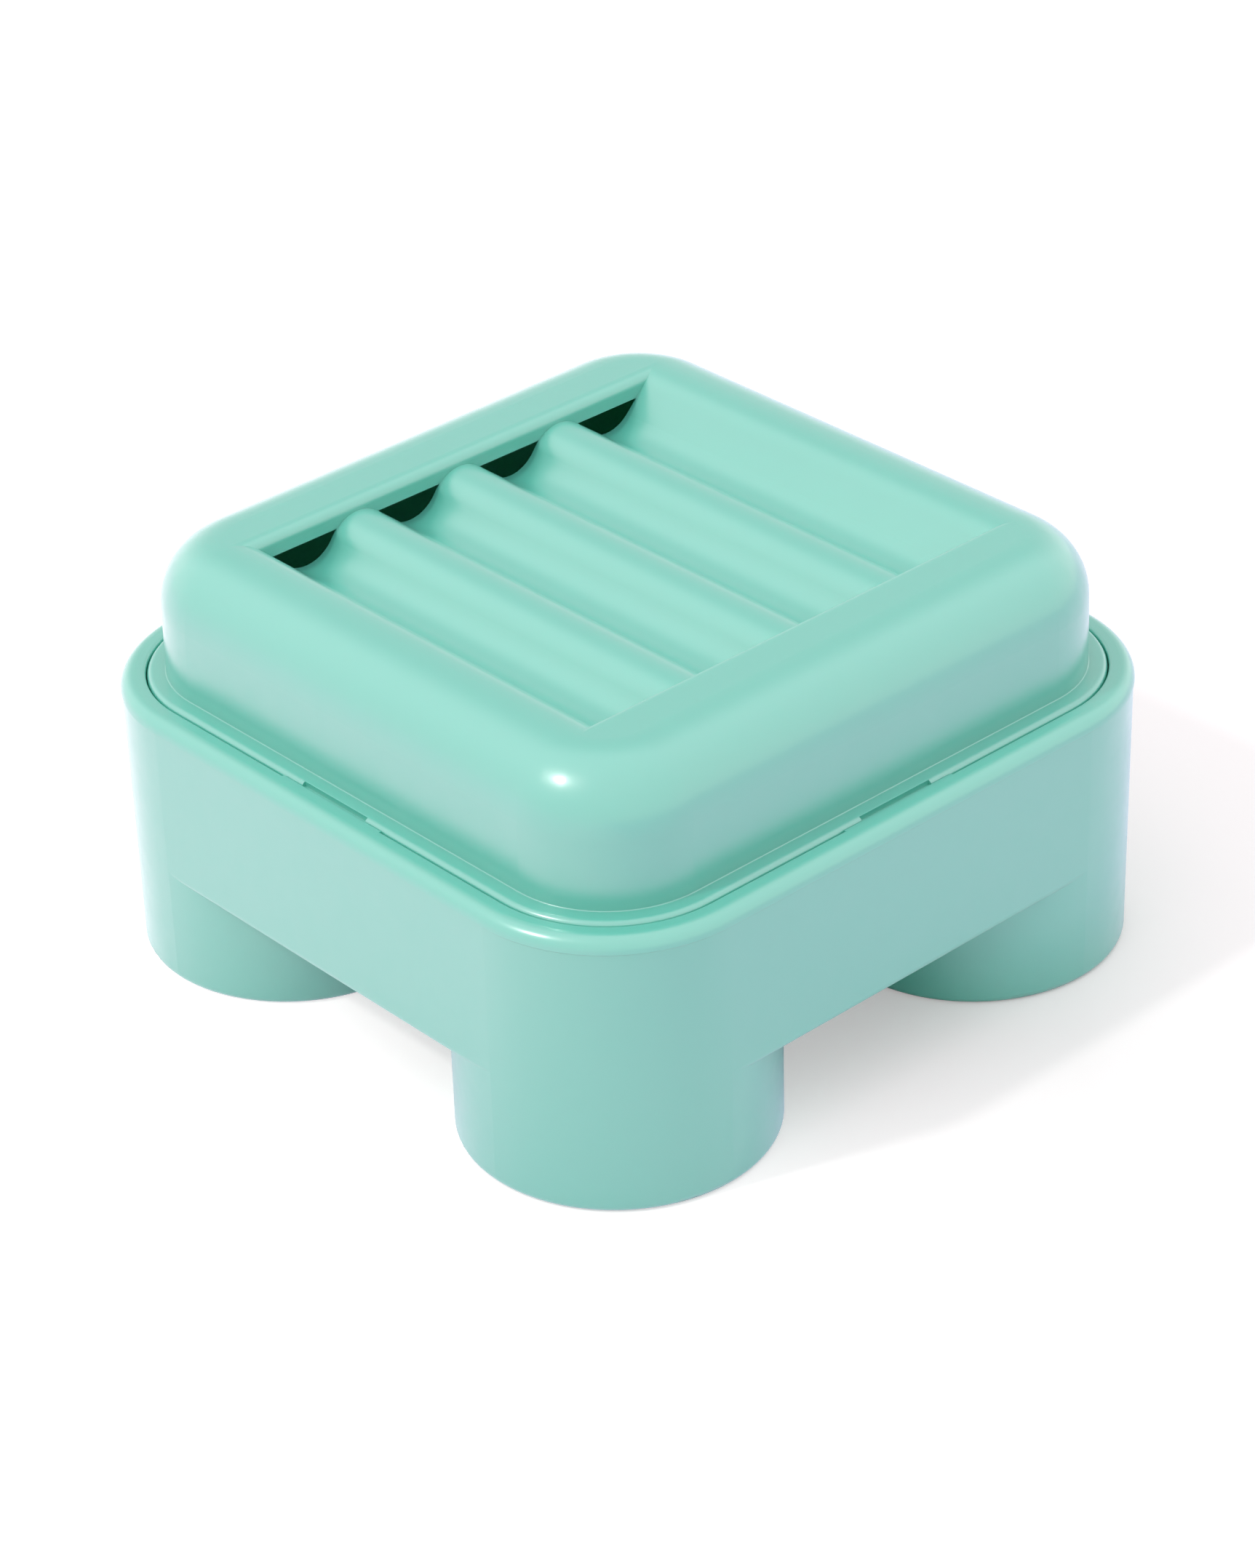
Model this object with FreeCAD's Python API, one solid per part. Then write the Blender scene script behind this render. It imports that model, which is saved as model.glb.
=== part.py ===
import FreeCAD
import Part
import math
import os

# A two-piece soap box: a square base on four round legs and a lift-off draining lid.
# Millimetres. +Z is up, the origin is on the floor under the middle of the box.
# The slats of the lid run along X, and the box looks the same when turned by half a turn.

# Base: walls and legs
foot_width = 89.6          # across the outsides of the legs, on the floor
corner_radius = 17.66      # legs and box corners, on the floor
draft_degrees = 0.1        # walls widen upwards by this angle
leg_height = 13.3          # floor to the underside of the box
leg_wall = 2.4             # legs are hollow, open below
leg_edge_round = 0.8       # outer edge of the feet
leg_core_round = 2.0       # blind end of the hollow in a leg
box_height = 20.65         # underside of the box to the top of its rim
floor_thickness = 2.4      # bottom of the box
wall_foot_round = 1.0      # lower edge of the walls between the legs
cavity_round = 5.0         # inside, where walls meet the bottom

# Base: rim and the seat of the lid
rim_round = 1.65           # broad outer rounding of the rim
rim_crest = 0.85           # flat top of the rim
rim_edge_round = 0.4       # inner edge of the rim
rim_land = 0.05            # upright band under the rounding
rim_proud = 0.12           # rim stands out from the wall at the parting line
seat_width = 1.4           # ledge under the flange
seat_edge_round = 0.3      # inner edge of the ledge
rebate_round = 0.2         # root of the rebate

# Base: a low bead in the middle of each side keeps the lid's flange in the rebate
bead_length = 16.0
bead_height = 1.2
bead_clearance = 0.05      # between bead and flange
bead_edge_round = 0.12

# Lid: flange, skirt and top
lid_wall = 1.7
lid_rise = 15.75           # top of the flange to the lid's top
skirt_draft_degrees = 1.0  # skirt narrows upwards by this angle
top_round = 7.5            # big rounding from skirt to top
flange_gap = 0.12          # clearance between flange and rim, all round
flange_thickness = 2.2
flange_proud = 0.2         # flange top above the rim
flange_edge_round = 0.7
flange_under_round = 0.3
flange_ledge = 2.11        # flat part and fillet beside the skirt
flange_fillet = 0.12       # hollow rounding between flange and skirt
notch_length = 10.4        # recess in the flange's top edge at each bead
notch_depth = 0.5          # in from the edge
notch_drop = 0.6           # down from the flange's top

# Lid: window with a wavy slat floor, open to the inside at the ends of the valleys
top_land = 3.68            # flat band between the big rounding and the window's end walls
window_wall_round = 1.3    # top edge of the end walls
window_lip = 2.6           # end walls reach this far below the lid's top
valley_inset = 9.55        # outermost valleys, in from the big rounding
slat_count = 3
slat_depth = 4.0           # crest to valley
crest_drop = 1.45          # crests below the lid's top
end_slope_degrees = 45.0   # last slopes rise to the lid's top at this angle
window_edge_round = 4.5    # where those slopes meet the top
slope_root_round = 0.8     # where they meet the underside of the top

overrun = 5.0              # cutting shapes reach this far past what they cut

# Heights above the floor, and places outward from the corner axes
axis = foot_width / 2 - corner_radius      # corner axes, from the middle, along X and along Y
draft = math.tan(math.radians(draft_degrees))
skirt_draft = math.tan(math.radians(skirt_draft_degrees))
floor_top = leg_height + floor_thickness
rim_top = leg_height + box_height
parting = rim_top - rim_round - rim_land - rim_proud
rim_outer = corner_radius + draft * parting + rim_proud
rebate = rim_outer - rim_round - rim_crest - rim_edge_round
base_wall = rim_outer - rim_proud - rebate + seat_width
flange_top = rim_top + flange_proud
seat = flange_top - flange_thickness
flange_outer = rebate - flange_gap
bead_inner = flange_outer + bead_clearance
skirt_foot = flange_outer - flange_ledge
lid_top = flange_top + lid_rise
top_under = lid_top - lid_wall

# Window of the lid, from the middle
flat_half_width = axis + skirt_foot - skirt_draft * lid_rise - top_round
window_half_length = flat_half_width - top_land - window_wall_round
slat_pitch = (flat_half_width - valley_inset) * 2 / slat_count


def wall_at(height):
    """Outward distance of the base's outer wall from the corner axes."""
    return corner_radius + draft * height


def skirt_at(height):
    """Outward distance of the lid's skirt from the corner axes."""
    return skirt_foot - skirt_draft * (height - flange_top)


def rounded_face(corners):
    """Face in the XZ plane from (x, z, rounding) corners, each rounding a tangent arc."""
    points = [FreeCAD.Vector(x, 0, z) for x, z, rounding in corners]
    arcs = []
    for i, (x, z, rounding) in enumerate(corners):
        here = points[i]
        back = (points[i - 1] - here).normalize()
        ahead = (points[(i + 1) % len(points)] - here).normalize()
        half_angle = back.getAngle(ahead) / 2
        reach = rounding / math.tan(half_angle)
        middle = (back + ahead).normalize() * (rounding / math.sin(half_angle) - rounding)
        arcs.append((here + back * reach, here + middle, here + ahead * reach))
    edges = []
    for i, (start, middle, end) in enumerate(arcs):
        if corners[i][2] > 0:
            edges.append(Part.Arc(start, middle, end).toShape())
        following = arcs[(i + 1) % len(arcs)][0]
        if end.distanceToPoint(following) > Part.Precision.confusion():
            edges.append(Part.LineSegment(end, following).toShape())
    return Part.Face(Part.Wire(edges))


def quarter_turns(shape):
    """The shape and its copies turned about the middle, one for each side or corner."""
    copies = []
    for turn in range(4):
        copy = shape.copy()
        copy.rotate(FreeCAD.Vector(), FreeCAD.Vector(0, 0, 1), 90 * turn)
        copies.append(copy)
    return copies


def corner_turn(face, start_angle, sweep_angle):
    """Turn a section about the +X +Y corner axis."""
    section = face.copy()
    section.rotate(FreeCAD.Vector(), FreeCAD.Vector(0, 0, 1), start_angle)
    section.translate(FreeCAD.Vector(axis, axis, 0))
    return section.revolve(FreeCAD.Vector(axis, axis, 0), FreeCAD.Vector(0, 0, 1), sweep_angle)


def side_run(face):
    """Run a section along the +X side, from corner axis to corner axis."""
    section = face.copy()
    section.translate(FreeCAD.Vector(axis, -axis, 0))
    return section.extrude(FreeCAD.Vector(0, 2 * axis, 0))


def core_block(low, high):
    """Square block between the four corner axes."""
    corner = FreeCAD.Vector(-axis, -axis, low)
    return Part.makeBox(2 * axis, 2 * axis, high - low, corner)


def rounded_square(side_face, corner_face, low, high):
    """Solid that follows one section round the square, filled between the corner axes."""
    pieces = quarter_turns(side_run(side_face))
    pieces += quarter_turns(corner_turn(corner_face, 0, 90))
    pieces.append(core_block(low, high))
    return pieces[0].fuse(pieces[1:]).removeSplitter()


def base_inside():
    """Corners of the base's section from the rim round the rebate, ledge and cavity to its floor."""
    return [
        (rim_outer, rim_top, rim_round),
        (rebate, rim_top, rim_edge_round),
        (rebate, seat, rebate_round),
        (wall_at(seat) - base_wall, seat, seat_edge_round),
        (wall_at(floor_top) - base_wall, floor_top, cavity_round),
        (0, floor_top, 0),
    ]


def base_outside():
    """Corners of the base's section up the wall at the parting line."""
    return [
        (wall_at(parting), parting, 0),
        (rim_outer, parting + rim_proud, 0),
    ]


def bead():
    """Low bead in the rebate, in the middle of the +X side."""
    root = rebate + rim_edge_round
    low = rim_top - bead_height
    face = rounded_face([
        (root, rim_top, 0),
        (bead_inner, rim_top, bead_edge_round),
        (bead_inner, low + rebate - bead_inner, bead_edge_round),
        (rebate, low, 0),
        (root, low, 0),
    ])
    face.translate(FreeCAD.Vector(axis, -bead_length / 2, 0))
    return face.extrude(FreeCAD.Vector(0, bead_length, 0))


def leg():
    """The part of a leg under the box, reaching into the rounding of the walls' lower edge."""
    high = leg_height + wall_foot_round
    face = rounded_face([
        (0, 0, 0),
        (wall_at(0), 0, leg_edge_round),
        (wall_at(high), high, 0),
        (0, high, 0),
    ])
    return corner_turn(face, 90, 270)


def leg_core():
    """Hollow of a leg, wider at its mouth."""
    mouth = corner_radius - leg_wall
    face = rounded_face([
        (0, -overrun, 0),
        (mouth + draft * overrun, -overrun, 0),
        (mouth - draft * leg_height, leg_height, leg_core_round),
        (0, leg_height, 0),
    ])
    return corner_turn(face, 0, 360)


def make_base():
    side = [(0, leg_height, 0), (wall_at(leg_height), leg_height, wall_foot_round)]
    corner = [(0, 0, 0), (wall_at(0), 0, leg_edge_round)]
    side_face = rounded_face(side + base_outside() + base_inside())
    corner_face = rounded_face(corner + base_outside() + base_inside())
    box = rounded_square(side_face, corner_face, leg_height, floor_top)
    box = box.fuse(quarter_turns(leg()) + quarter_turns(bead()))
    return box.cut(quarter_turns(leg_core())).removeSplitter()


def lid_outside():
    face = rounded_face([
        (0, seat, 0),
        (flange_outer, seat, flange_under_round),
        (flange_outer, flange_top, flange_edge_round),
        (skirt_foot, flange_top, flange_fillet),
        (skirt_at(lid_top), lid_top, top_round),
        (0, lid_top, 0),
    ])
    return rounded_square(face, face, seat, lid_top)


def lid_hollow():
    face = rounded_face([
        (0, seat - overrun, 0),
        (skirt_at(seat - overrun) - lid_wall, seat - overrun, 0),
        (skirt_at(top_under) - lid_wall, top_under, top_round - lid_wall),
        (0, top_under, 0),
    ])
    return rounded_square(face, face, seat - overrun, top_under)


def notch():
    """Recess in the flange's edge, in the middle of the +X side."""
    corner = FreeCAD.Vector(axis + flange_outer - notch_depth, -notch_length / 2, flange_top - notch_drop)
    return Part.makeBox(notch_depth + overrun, notch_length, notch_drop + overrun, corner)


def arc_about(center, radius, start_degrees, end_degrees):
    """Arc in the YZ plane about a center, angles counted from +Y towards +Z."""
    points = []
    for degrees in (start_degrees, (start_degrees + end_degrees) / 2, end_degrees):
        angle = math.radians(degrees)
        points.append(center + FreeCAD.Vector(0, math.cos(angle), math.sin(angle)) * radius)
    return Part.Arc(*points).toShape()


def slat_edges(below):
    """Waves of the slat floor from end valley to end valley, or of a surface that far below it."""
    radius = ((slat_pitch / 2) ** 2 + slat_depth ** 2) / (4 * slat_depth)
    crest_height = lid_top - crest_drop - radius
    valley_height = lid_top - crest_drop - slat_depth + radius
    steep_degrees = math.degrees(2 * math.atan(slat_depth / (slat_pitch / 2)))
    edges = []
    for i in range(slat_count + 1):
        place = slat_pitch * (i - slat_count / 2)
        left = end_slope_degrees if i == 0 else steep_degrees
        right = end_slope_degrees if i == slat_count else steep_degrees
        valley = FreeCAD.Vector(0, place, valley_height)
        edges.append(arc_about(valley, radius + below, 270 - left, 270 + right))
        if i < slat_count:
            crest = FreeCAD.Vector(0, place + slat_pitch / 2, crest_height)
            edges.append(arc_about(crest, radius - below, 90 + steep_degrees, 90 - steep_degrees))
    return edges


def slope_edges(foot, height, edge_round):
    """Last slope from the end valley up to a level, rounded over there. The foot has Y above zero."""
    slope = math.radians(end_slope_degrees)
    turn_height = height - edge_round * (1 - math.cos(slope))
    turn = FreeCAD.Vector(0, foot.y + (turn_height - foot.z) / math.tan(slope), turn_height)
    center = FreeCAD.Vector(0, turn.y + edge_round * math.sin(slope), height - edge_round)
    line = Part.LineSegment(foot, turn).toShape()
    return [line, arc_about(center, edge_round, 90 + end_slope_degrees, 90)]


def above_slats(below, height, edge_round, half_length):
    """Block above the slat floor, or above the surface that far below it, its slopes ending at a height."""
    waves = slat_edges(below)
    foot = max((vertex.Point for vertex in waves[-1].Vertexes), key=lambda point: point.y)
    slope = slope_edges(foot, height, edge_round)
    mirrored = [edge.mirror(FreeCAD.Vector(), FreeCAD.Vector(0, 1, 0)) for edge in slope]
    end = max((vertex.Point for vertex in slope[-1].Vertexes), key=lambda point: point.y)
    high = lid_top + overrun
    lid_points = [(end.y, height), (end.y, high), (-end.y, high), (-end.y, height)]
    cover = Part.makePolygon([FreeCAD.Vector(0, y, z) for y, z in lid_points])
    outline = Part.Wire(Part.__sortEdges__(waves + slope + mirrored + cover.Edges))
    face = Part.Face(outline)
    face.translate(FreeCAD.Vector(-half_length, 0, 0))
    return face.extrude(FreeCAD.Vector(2 * half_length, 0, 0))


def window_opening():
    """What the window takes out of the lid: end walls with a rounded top edge, above the slats."""
    outer = window_half_length + window_wall_round
    high = lid_top + overrun
    right = [
        (window_half_length, top_under - slat_depth - overrun, 0),
        (window_half_length, lid_top, window_wall_round),
        (outer, lid_top, 0),
        (outer, high, 0),
    ]
    left = [(-x, z, rounding) for x, z, rounding in reversed(right)]
    face = rounded_face(right + left)
    reach = foot_width / 2
    face.translate(FreeCAD.Vector(0, -reach, 0))
    between_walls = face.extrude(FreeCAD.Vector(0, 2 * reach, 0))
    return above_slats(0, lid_top, window_edge_round, outer).common(between_walls)


def window_lips():
    """Ribs under the lid's top that carry the window's end walls down to the lip."""
    reach = foot_width / 2
    block = above_slats(lid_wall, top_under, slope_root_round, window_half_length + lid_wall)
    corner = FreeCAD.Vector(-reach, -reach, lid_top - window_lip)
    return block.common(Part.makeBox(2 * reach, 2 * reach, window_lip + overrun, corner))


def make_lid():
    slat_floor = above_slats(lid_wall, top_under, slope_root_round, window_half_length)
    inside = lid_hollow().cut([slat_floor, window_lips()])
    return lid_outside().cut(quarter_turns(notch()) + [window_opening(), inside]).removeSplitter()


os.makedirs("parts", exist_ok=True)
nodes = {"base_box": make_base(), "drain_lid": make_lid()}
for name, shape in nodes.items():
    print(name, shape.ShapeType, len(shape.Solids), shape.isValid(), round(shape.Volume, 1))
    shape.exportStep(os.path.join("parts", name + ".step"))
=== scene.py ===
import math

import bpy
from mathutils import Matrix, Vector

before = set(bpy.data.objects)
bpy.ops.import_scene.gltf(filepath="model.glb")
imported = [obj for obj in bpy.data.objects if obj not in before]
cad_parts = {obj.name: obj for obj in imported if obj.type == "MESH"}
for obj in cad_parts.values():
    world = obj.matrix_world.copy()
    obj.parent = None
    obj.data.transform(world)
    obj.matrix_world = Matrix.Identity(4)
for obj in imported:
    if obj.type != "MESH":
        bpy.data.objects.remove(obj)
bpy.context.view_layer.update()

# Camera, as the photograph was taken
PHOTO_HEIGHT = 2156               # pixels, the long side of the frame
FOCAL_PIXELS = 6004.8
SENSOR = 36.0                     # millimetres, for the long side
CAMERA_PLACE = (0.31271, -0.28031, 0.27448)
CAMERA_AZIMUTH = 48.151           # degrees from the -Y side towards +X
CAMERA_ELEVATION = 31.413
CAMERA_ROLL = -1.783
CAMERA_CLIP = (0.01, 100.0)       # metres, nearest and farthest that it sees

# Light: a small key lamp from the left, under a white tent that is brighter overhead
KEY_TOWARDS = (-0.235, -0.83, 1.0)
KEY_DISTANCE = 1.6
KEY_SIZE = 0.105
KEY_WATTS = 5.0
KEY_COLOR = (1.0, 0.985, 0.96)
TENT_COLOR = (0.98, 0.99, 1.0)
TENT_HORIZON = 0.15               # strength at the floor line
TENT_ZENITH = 1.43                # strength overhead
SHEEN = 1.45                      # strength of the tent in reflections
DIM_TOWARDS = (-0.636, 0.567, 0.524)
DIM_STRENGTH = 0.78               # of a dim opening at the back of the tent, in reflections
DIM_EDGES = (0.75, 0.95)          # cosines from its middle between which it fades in

# Floor
FLOOR_HALF = 3.0
FLOOR_DROP = 0.00005              # keeps it clear of the undersides of the feet
FLOOR_COLOR = (0.84, 0.81, 0.815)
FLOOR_ACROSS = (1.0, 1.0, 0.0)    # over the floor, from the left of the picture to the right
FLOOR_EDGES = (-0.05, 0.05)       # metres along it between which the left turns into the right
FLOOR_PAINTED_GLOW = ((0.75, 0.65, 0.67), (0.21, 0.17, 0.175))   # painted light for the camera alone, left and right: much more on the left, where the key lamp falls
FLOOR_PAINTED_SHEEN = ((0.48, 0.44, 0.54), (0.15, 0.16, 0.35))   # painted light that the floor gives off in reflections alone, left and right
SHADE_MIDDLE = (0.02, 0.02, 0.0)  # of the shade under the box, where there is none of that sheen
SHADE_EDGES = (0.02, 0.04)        # metres from its middle between which it ends

# Plastic
MINT = (0.120, 0.545, 0.440)
MINT_DEEP = (0.113, 0.533, 0.428)
CLOUDS = (60.0, 3.0)              # scale and detail of the noise between the two colours
SATIN = (350.0, 4.0)              # scale and detail of the noise in the gloss
SATIN_EDGES = (0.3, 0.7)          # noise values between which the roughness rises
ROUGHNESS = (0.30, 0.38)
SKIN = (900.0, 2.0)               # scale and detail of the noise in the skin
SKIN_STRENGTH = 0.02
SKIN_HEIGHT = 0.0002
PLASTIC = {
    "IOR": 1.55,
    "Specular IOR Level": 1.0,
    "Coat Weight": 1.0,
    "Coat Roughness": 0.22,
    "Coat IOR": 1.8,
    "Subsurface Weight": 0.2,
    "Subsurface Radius": (0.25, 1.0, 0.75),
    "Subsurface Scale": 0.004,
}


def direction(azimuth, elevation):
    """Unit vector from the object towards a place on the sky."""
    a = math.radians(azimuth)
    e = math.radians(elevation)
    return Vector((math.sin(a) * math.cos(e), -math.cos(a) * math.cos(e), math.sin(e)))


def add_camera():
    """Camera at the place and with the lens found from the box's edges in the photograph."""
    data = bpy.data.cameras.new("camera")
    data.sensor_width = SENSOR
    data.lens = FOCAL_PIXELS * SENSOR / PHOTO_HEIGHT
    data.clip_start, data.clip_end = CAMERA_CLIP
    back = direction(CAMERA_AZIMUTH, CAMERA_ELEVATION)
    level = direction(CAMERA_AZIMUTH + 90, 0)
    turn = Matrix.Rotation(math.radians(CAMERA_ROLL), 3, back)
    right = turn @ level
    up = turn @ back.cross(level)
    camera = bpy.data.objects.new("camera", data)
    stand = Matrix((right, up, back)).transposed().to_4x4()
    camera.matrix_world = Matrix.Translation(CAMERA_PLACE) @ stand
    bpy.context.scene.collection.objects.link(camera)
    bpy.context.scene.camera = camera


def add_key_lamp():
    """Small round lamp that gives the shadow and the highlights on the front corner."""
    data = bpy.data.lights.new("key_lamp", "AREA")
    data.shape = "DISK"
    data.size = KEY_SIZE
    data.energy = KEY_WATTS
    data.color = KEY_COLOR
    lamp = bpy.data.objects.new("key_lamp", data)
    towards = Vector(KEY_TOWARDS).normalized()
    lamp.location = towards * KEY_DISTANCE
    lamp.rotation_mode = "QUATERNION"
    lamp.rotation_quaternion = (-towards).to_track_quat("-Z", "Y")
    bpy.context.scene.collection.objects.link(lamp)


def ramp(tree, source, low, high, at_low, at_high):
    """Clamped straight ramp of a value."""
    node = tree.nodes.new("ShaderNodeMapRange")
    node.inputs["From Min"].default_value = low
    node.inputs["From Max"].default_value = high
    node.inputs["To Min"].default_value = at_low
    node.inputs["To Max"].default_value = at_high
    tree.links.new(source, node.inputs["Value"])
    return node.outputs["Result"]


def along(tree, source, towards):
    """How far a vector reaches in a direction."""
    node = tree.nodes.new("ShaderNodeVectorMath")
    node.operation = "DOT_PRODUCT"
    node.inputs[1].default_value = Vector(towards).normalized()
    tree.links.new(source, node.inputs[0])
    return node.outputs["Value"]


def blend(tree, factor, first, second):
    """Colour between two others."""
    node = tree.nodes.new("ShaderNodeMix")
    node.data_type = "RGBA"
    node.inputs["A"].default_value = (*first, 1.0)
    node.inputs["B"].default_value = (*second, 1.0)
    tree.links.new(factor, node.inputs["Factor"])
    return node.outputs["Result"]


def add_tent():
    """White surroundings: a soft tent, plain white for the camera, with a dim opening for gloss."""
    world = bpy.data.worlds.new("tent")
    world.use_nodes = True
    tree = world.node_tree
    tree.nodes.clear()
    light_path = tree.nodes.new("ShaderNodeLightPath")
    place = tree.nodes.new("ShaderNodeTexCoord")
    split = tree.nodes.new("ShaderNodeSeparateXYZ")
    tree.links.new(place.outputs["Generated"], split.inputs["Vector"])
    height = split.outputs["Z"]
    soft = tree.nodes.new("ShaderNodeBackground")
    soft.inputs["Color"].default_value = (*TENT_COLOR, 1.0)
    strength = ramp(tree, height, 0.0, 1.0, TENT_HORIZON, TENT_ZENITH)
    tree.links.new(strength, soft.inputs["Strength"])
    sheen = tree.nodes.new("ShaderNodeBackground")
    sheen.inputs["Color"].default_value = (*TENT_COLOR, 1.0)
    facing = along(tree, place.outputs["Generated"], DIM_TOWARDS)
    tree.links.new(ramp(tree, facing, *DIM_EDGES, SHEEN, DIM_STRENGTH), sheen.inputs["Strength"])
    white = tree.nodes.new("ShaderNodeBackground")
    white.inputs["Color"].default_value = (1.0, 1.0, 1.0, 1.0)
    for_gloss = tree.nodes.new("ShaderNodeMixShader")
    tree.links.new(light_path.outputs["Is Glossy Ray"], for_gloss.inputs["Fac"])
    tree.links.new(soft.outputs["Background"], for_gloss.inputs[1])
    tree.links.new(sheen.outputs["Background"], for_gloss.inputs[2])
    for_camera = tree.nodes.new("ShaderNodeMixShader")
    tree.links.new(light_path.outputs["Is Camera Ray"], for_camera.inputs["Fac"])
    tree.links.new(for_gloss.outputs["Shader"], for_camera.inputs[1])
    tree.links.new(white.outputs["Background"], for_camera.inputs[2])
    output = tree.nodes.new("ShaderNodeOutputWorld")
    tree.links.new(for_camera.outputs["Shader"], output.inputs["Surface"])
    bpy.context.scene.world = world


def floor_material():
    """White paper, brighter for the camera and in reflections than its light alone makes it.

    Painted light makes it brightest on the left, where the key lamp falls, and in reflections
    leaves out the shade under the box. From below it is clear, so that the underside of the box
    shows.
    """
    material = bpy.data.materials.new("studio_floor")
    material.use_nodes = True
    tree = material.node_tree
    tree.nodes.clear()
    light_path = tree.nodes.new("ShaderNodeLightPath")
    paint = tree.nodes.new("ShaderNodeBsdfDiffuse")
    paint.inputs["Color"].default_value = (*FLOOR_COLOR, 1.0)
    shader = paint.outputs["BSDF"]
    place = tree.nodes.new("ShaderNodeNewGeometry")
    sideways = along(tree, place.outputs["Position"], FLOOR_ACROSS)
    across = ramp(tree, sideways, *FLOOR_EDGES, 0.0, 1.0)
    away = tree.nodes.new("ShaderNodeVectorMath")
    away.operation = "DISTANCE"
    away.inputs[1].default_value = SHADE_MIDDLE
    tree.links.new(place.outputs["Position"], away.inputs[0])
    # painted sheen, seen in reflections alone and left out in the shade under the box
    in_reflections = tree.nodes.new("ShaderNodeMath")
    in_reflections.operation = "MULTIPLY"
    tree.links.new(light_path.outputs["Is Glossy Ray"], in_reflections.inputs[0])
    outside = ramp(tree, away.outputs["Value"], *SHADE_EDGES, 0.0, 1.0)
    tree.links.new(outside, in_reflections.inputs[1])
    # painted light: a glow for the camera and a sheen in reflections, both given off by the floor
    for strength, (left, right) in ((light_path.outputs["Is Camera Ray"], FLOOR_PAINTED_GLOW),
                                    (in_reflections.outputs["Value"], FLOOR_PAINTED_SHEEN)):
        glow = tree.nodes.new("ShaderNodeEmission")
        tree.links.new(blend(tree, across, left, right), glow.inputs["Color"])
        tree.links.new(strength, glow.inputs["Strength"])
        add = tree.nodes.new("ShaderNodeAddShader")
        tree.links.new(shader, add.inputs[0])
        tree.links.new(glow.outputs["Emission"], add.inputs[1])
        shader = add.outputs["Shader"]
    clear = tree.nodes.new("ShaderNodeBsdfTransparent")
    one_sided = tree.nodes.new("ShaderNodeMixShader")
    tree.links.new(place.outputs["Backfacing"], one_sided.inputs["Fac"])
    tree.links.new(shader, one_sided.inputs[1])
    tree.links.new(clear.outputs["BSDF"], one_sided.inputs[2])
    output = tree.nodes.new("ShaderNodeOutputMaterial")
    tree.links.new(one_sided.outputs["Shader"], output.inputs["Surface"])
    return material


def add_floor():
    """Square floor under the feet."""
    mesh = bpy.data.meshes.new("studio_floor")
    signs = ((-1, -1), (1, -1), (1, 1), (-1, 1))
    corners = [(x * FLOOR_HALF, y * FLOOR_HALF, -FLOOR_DROP) for x, y in signs]
    mesh.from_pydata(corners, [], [(0, 1, 2, 3)])
    mesh.materials.append(floor_material())
    floor = bpy.data.objects.new("studio_floor", mesh)
    bpy.context.scene.collection.objects.link(floor)


def noise(tree, place, scale, detail):
    """Cloudy noise that stays with the object."""
    node = tree.nodes.new("ShaderNodeTexNoise")
    node.inputs["Scale"].default_value = scale
    node.inputs["Detail"].default_value = detail
    tree.links.new(place.outputs["Object"], node.inputs["Vector"])
    return node.outputs["Fac"]


def mint_plastic(name):
    """Moulded plastic: faint clouds in the colour, a satin gloss and a barely uneven skin."""
    material = bpy.data.materials.new(name)
    material.use_nodes = True
    tree = material.node_tree
    shader = tree.nodes["Principled BSDF"]
    place = tree.nodes.new("ShaderNodeTexCoord")
    color = blend(tree, noise(tree, place, *CLOUDS), MINT, MINT_DEEP)
    tree.links.new(color, shader.inputs["Base Color"])
    roughness = ramp(tree, noise(tree, place, *SATIN), *SATIN_EDGES, *ROUGHNESS)
    tree.links.new(roughness, shader.inputs["Roughness"])
    skin = tree.nodes.new("ShaderNodeBump")
    skin.inputs["Strength"].default_value = SKIN_STRENGTH
    skin.inputs["Distance"].default_value = SKIN_HEIGHT
    tree.links.new(noise(tree, place, *SKIN), skin.inputs["Height"])
    tree.links.new(skin.outputs["Normal"], shader.inputs["Normal"])
    for socket, value in PLASTIC.items():
        shader.inputs[socket].default_value = value
    return material


def dress(node, material):
    """Give a CAD node its material in every slot."""
    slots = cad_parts[node].data.materials
    for i in range(len(slots)):
        slots[i] = material


bpy.context.scene.view_settings.view_transform = "Standard"
add_camera()
add_key_lamp()
add_tent()
add_floor()
dress("base_box", mint_plastic("base_plastic"))
dress("drain_lid", mint_plastic("lid_plastic"))
